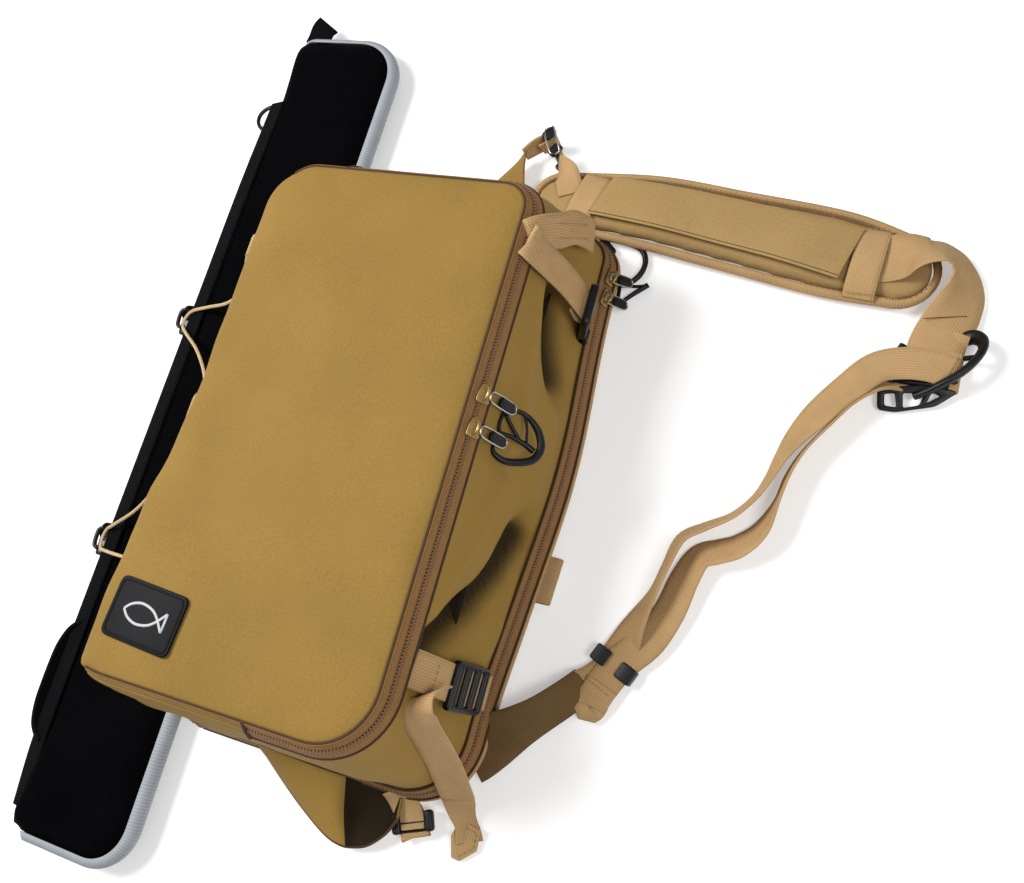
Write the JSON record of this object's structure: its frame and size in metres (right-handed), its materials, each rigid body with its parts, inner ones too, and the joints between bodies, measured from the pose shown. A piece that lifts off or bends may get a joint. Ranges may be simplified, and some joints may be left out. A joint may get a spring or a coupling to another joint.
{
  "type": "tackle sling backpack",
  "caption": "One-shoulder fabric tackle bag lying on its back, with a padded strap, two zipped compartments and a rod case laced to its left side.",
  "frame": {"origin": "centre of the back panel's outer face, on the floor the bag lies on", "axes": "+Z out of the front panel, +Y toward the top of the bag, +X toward the shoulder strap side"},
  "size_m": [0.6776, 0.7778, 0.1577],
  "materials": {
    "bag_fabric": "matte",
    "strap_webbing": "matte",
    "zip_tape": "matte",
    "dark_webbing": "matte",
    "lacing_cord": "matte",
    "case_fabric": "matte",
    "case_binding": "matte",
    "black_plastic": "satin",
    "stiffener": "matte",
    "slider_metal": "satin",
    "pull_wire": "satin",
    "patch": "matte"
  },
  "bodies": {
    "back_section": {"back_panel": "bag_fabric", "back_board": "stiffener", "rear_gusset": "bag_fabric", "rear_binding": "strap_webbing", "main_zip_rear_half": "zip_tape", "side_loop": "strap_webbing", "top_wing": "bag_fabric", "top_wing_webbing": "strap_webbing", "pad_link_webbing": "strap_webbing", "shoulder_pad": "bag_fabric", "pad_binding": "strap_webbing", "pad_strip_left": "strap_webbing", "pad_strip_right": "strap_webbing", "pad_end_webbing": "strap_webbing", "quick_buckle": "black_plastic", "adjuster_webbing": "strap_webbing", "corner_wing": "dark_webbing", "bottom_wing": "bag_fabric", "bottom_wing_webbing": "strap_webbing", "rod_case_lower": "case_fabric", "rod_case_upper": "case_fabric", "rod_case_binding": "case_binding", "rod_case_tab": "case_fabric", "rod_case_handle": "case_fabric", "d_ring_tab": "case_fabric", "lacing_hook_upper": "black_plastic", "lacing_hook_lower": "black_plastic"},
    "front_section": {"mid_gusset": "bag_fabric", "divider": "bag_fabric", "main_zip_front_half": "zip_tape", "front_zip_lower_half": "zip_tape", "bungee_loops": "strap_webbing", "bungee_cord": "lacing_cord", "upper_strap_webbing": "strap_webbing", "lower_strap_webbing": "strap_webbing", "lower_strap_tail": "strap_webbing", "lower_ladder_buckle": "black_plastic"},
    "upper_hook": {"upper_hook_buckle": "black_plastic"},
    "front_lid": {"front_panel": "bag_fabric", "front_piping": "zip_tape", "front_zip_upper_half": "zip_tape", "front_patch": "patch"},
    "front_slider_top": {"front_slider_upper": "slider_metal"},
    "front_slider_bottom": {"front_slider_lower": "slider_metal"},
    "front_pull_top": {"front_pull_upper": "pull_wire", "front_zip_clip": "black_plastic"},
    "front_pull_bottom": {"front_pull_lower": "pull_wire"},
    "main_slider_top": {"main_slider_upper": "slider_metal"},
    "main_slider_bottom": {"main_slider_lower": "slider_metal"},
    "main_pull_top": {"main_pull_upper": "pull_wire"},
    "main_pull_bottom": {"main_pull_lower": "pull_wire"},
    "main_clip": {"main_zip_clip": "black_plastic"},
    "top_glide": {"top_triglide": "black_plastic"},
    "bottom_glide": {"bottom_triglide": "black_plastic"},
    "ring": {"d_ring": "pull_wire"},
    "keeper": {"strap_keeper": "black_plastic"},
    "flap": {"pad_flap": "bag_fabric"}
  },
  "joints": [
    {"name": "main_opening", "type": "hinge", "parent": "back_section", "child": "front_section", "pos_m": [-0.1205, 0, 0.0257], "axis": [0, -1, 0], "range_deg": [0, 50], "deforming": ["bungee_cord"]},
    {"name": "lid_opening", "type": "hinge", "parent": "front_section", "child": "front_lid", "pos_m": [-0.1145, 0, 0.1407], "axis": [0, -1, 0], "range_deg": [0, 110]},
    {"name": "front_slider_upper_travel", "type": "slide", "parent": "front_section", "child": "front_slider_top", "axis": [0, 1, 0], "range_m": [0, 0.085]},
    {"name": "front_slider_lower_travel", "type": "slide", "parent": "front_section", "child": "front_slider_bottom", "axis": [0, -1, 0], "range_m": [0, 0.115]},
    {"name": "front_pull_upper_swing", "type": "hinge", "parent": "front_slider_top", "child": "front_pull_top", "pos_m": [0.1102, 0.044, 0.1407], "axis": [0, -1, 0], "range_deg": [0, 140]},
    {"name": "front_pull_lower_swing", "type": "hinge", "parent": "front_slider_bottom", "child": "front_pull_bottom", "pos_m": [0.1102, 0.02, 0.1407], "axis": [0, -1, 0], "range_deg": [0, 140]},
    {"name": "main_slider_lower_travel", "type": "slide", "parent": "back_section", "child": "main_slider_bottom", "axis": [0, -1, 0], "range_m": [0, 0.185]},
    {"name": "main_slider_upper_travel", "type": "slide", "parent": "back_section", "child": "main_slider_top", "axis": [0, 1, 0], "range_m": [0, 0.004]},
    {"name": "main_pull_upper_swing", "type": "hinge", "parent": "main_slider_top", "child": "main_pull_top", "pos_m": [0.1302, 0.193, 0.0257], "axis": [0, -1, 0], "range_deg": [0, 140]},
    {"name": "main_pull_lower_swing", "type": "hinge", "parent": "main_slider_bottom", "child": "main_pull_bottom", "pos_m": [0.1302, 0.175, 0.0257], "axis": [0, -1, 0], "range_deg": [0, 140]},
    {"name": "main_clip_swing", "type": "hinge", "parent": "back_section", "child": "main_clip", "pos_m": [0.154, 0.203, 0.0006], "axis": [0, 0, 1], "range_deg": [0, 20]},
    {"name": "upper_hook_swing", "type": "hinge", "parent": "front_section", "child": "upper_hook", "pos_m": [0.1253, 0.1465, 0.0735], "axis": [0, -1, 0], "range_deg": [0, 60]},
    {"name": "flap_opening", "type": "hinge", "parent": "back_section", "child": "flap", "pos_m": [0.108, 0.282, 0.0222], "axis": [-0.9951, 0.099, 0], "range_deg": [0, 120]},
    {"name": "keeper_travel", "type": "slide", "parent": "back_section", "child": "keeper", "axis": [0.3907, 0.9205, 0], "range_m": [-0.005, 0.005]},
    {"name": "top_glide_travel", "type": "slide", "parent": "back_section", "child": "top_glide", "axis": [0.5225, -0.8526, 0], "range_m": [-0.001, 0.001]},
    {"name": "bottom_glide_travel", "type": "slide", "parent": "back_section", "child": "bottom_glide", "axis": [0.4472, -0.8944, 0], "range_m": [0, 0.002]},
    {"name": "d_ring_swing", "type": "hinge", "parent": "back_section", "child": "ring", "pos_m": [-0.2485, 0.319, 0.0175], "axis": [0, 1, 0], "range_deg": [0, 60]}
  ]
}
